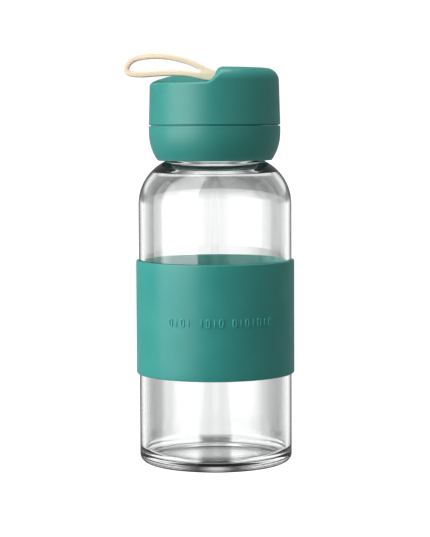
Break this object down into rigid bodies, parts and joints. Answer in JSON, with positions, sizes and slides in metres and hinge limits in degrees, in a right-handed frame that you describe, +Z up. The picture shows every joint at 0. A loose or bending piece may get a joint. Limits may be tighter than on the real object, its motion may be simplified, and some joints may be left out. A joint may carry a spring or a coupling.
{
  "type": "glass water bottle",
  "caption": "Round-shouldered glass water bottle with a silicone grip sleeve, a screw-on drinking collar and a screw cap that carries a silicone carrying strap in its scooped top.",
  "frame": {"origin": "centre of the base, on the surface that the bottle stands on", "axes": "+Z up along the bottle's axis; the strap lies towards -X; the flat side of the scoop in the cap faces -Y"},
  "size_m": [0.0732, 0.0684, 0.1764],
  "materials": {
    "glass": "clear, fire-polished",
    "sleeve_silicone": "soft matt",
    "lid_plastic": "fine matt texture",
    "spout_plastic": "satin",
    "liner_plastic": "satin",
    "seal_silicone": "soft matt",
    "strap_silicone": "soft matt",
    "pin_steel": "drawn"
  },
  "bodies": {
    "bottle": {"glass_body": "glass"},
    "sleeve": {"grip_sleeve": "sleeve_silicone"},
    "collar_carrier": {"neck_seal": "seal_silicone"},
    "collar": {"collar_shell": "lid_plastic", "mouthpiece": "spout_plastic"},
    "cap_carrier": {"cap_seal": "seal_silicone"},
    "cap": {"cap_shell": "lid_plastic", "cap_liner": "liner_plastic", "strap_pin": "pin_steel"},
    "strap": {"strap": "strap_silicone"}
  },
  "joints": [
    {"name": "sleeve_slide", "type": "slide", "parent": "bottle", "child": "sleeve", "axis": [0, 0, 1], "range_m": [-0.035, 0.022]},
    {"name": "collar_rise", "type": "slide", "parent": "bottle", "child": "collar_carrier", "axis": [0, 0, 1], "range_m": [0, 0.0135]},
    {"name": "collar_turn", "type": "hinge", "parent": "collar_carrier", "child": "collar", "pos_m": [0, 0, 0.138], "axis": [0, 0, 1], "range_deg": [0, 810]},
    {"name": "cap_rise", "type": "slide", "parent": "collar", "child": "cap_carrier", "axis": [0, 0, 1], "range_m": [0, 0.0135]},
    {"name": "cap_turn", "type": "hinge", "parent": "cap_carrier", "child": "cap", "pos_m": [0, 0, 0.151], "axis": [0, 0, 1], "range_deg": [0, 810]},
    {"name": "strap_swing", "type": "hinge", "parent": "cap", "child": "strap", "pos_m": [0.0015, 0, 0.1662], "axis": [0, 1, 0], "range_deg": [0, 80]}
  ],
  "couplings": [
    {"joint": "collar_rise", "follows": "collar_turn", "m_per_rad": 0.00095493},
    {"joint": "cap_rise", "follows": "cap_turn", "m_per_rad": 0.00095493}
  ]
}
